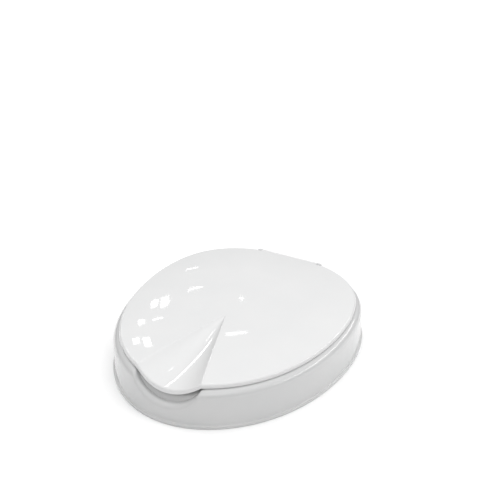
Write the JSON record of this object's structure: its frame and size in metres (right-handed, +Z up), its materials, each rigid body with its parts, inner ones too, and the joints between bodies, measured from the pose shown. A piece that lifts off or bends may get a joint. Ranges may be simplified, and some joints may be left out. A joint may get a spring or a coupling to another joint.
{
  "type": "raised toilet seat with lid",
  "caption": "Egg-shaped raised toilet seat with a skirted shell, a front hand recess and a rear-hinged lid with a tapered grip channel, on a base plate with two sliding clamps.",
  "frame": {"origin": "centre of the floor plane under the foot of the shell", "axes": "+Z up, +Y towards the hinge, -Y towards the front hand recess, +X to the right seen from the front looking back"},
  "size_m": [0.3808, 0.4496, 0.0772],
  "materials": {
    "shell_plastic": "gloss",
    "lid_plastic": "high gloss",
    "plate_plastic": "satin",
    "clamp_plastic": "satin",
    "rubber": "matt",
    "steel": "bright zinc"
  },
  "bodies": {
    "seat": {"seat_shell": "shell_plastic", "base_plate": "plate_plastic", "hinge_pin_left": "steel", "hinge_pin_right": "steel", "rim_pad_front_left": "rubber", "rim_pad_front_right": "rubber", "rim_pad_rear_left": "rubber", "rim_pad_rear_right": "rubber", "base_screw_1": "steel", "base_screw_2": "steel", "base_screw_3": "steel", "base_screw_4": "steel", "base_screw_5": "steel", "base_screw_6": "steel"},
    "lid": {"lid": "lid_plastic", "lid_buffer_front_left": "rubber", "lid_buffer_front_right": "rubber", "lid_buffer_rear_left": "rubber", "lid_buffer_rear_right": "rubber"},
    "clamp_right": {"clamp_bracket_right": "clamp_plastic", "clamp_pad_right": "rubber", "clamp_bolt_right": "steel", "clamp_washer_right": "steel"},
    "clamp_left": {"clamp_bracket_left": "clamp_plastic", "clamp_pad_left": "rubber", "clamp_bolt_left": "steel", "clamp_washer_left": "steel"},
    "wing_nut_right": {"wing_nut_right": "clamp_plastic"},
    "wing_nut_left": {"wing_nut_left": "clamp_plastic"}
  },
  "joints": [
    {"name": "lid_hinge", "type": "hinge", "parent": "seat", "child": "lid", "pos_m": [0, 0.2035, 0.0676], "axis": [-1, 0, 0], "range_deg": [0, 105]},
    {"name": "clamp_slide_right", "type": "slide", "parent": "seat", "child": "clamp_right", "axis": [1, 0, 0], "range_m": [-0.008, 0.008]},
    {"name": "clamp_slide_left", "type": "slide", "parent": "seat", "child": "clamp_left", "axis": [-1, 0, 0], "range_m": [-0.008, 0.008]},
    {"name": "wing_nut_turn_right", "type": "hinge", "parent": "clamp_right", "child": "wing_nut_right", "pos_m": [0.128, 0, 0.007], "axis": [0, 0, 1], "continuous": true},
    {"name": "wing_nut_turn_left", "type": "hinge", "parent": "clamp_left", "child": "wing_nut_left", "pos_m": [-0.128, 0, 0.007], "axis": [0, 0, 1], "continuous": true}
  ]
}
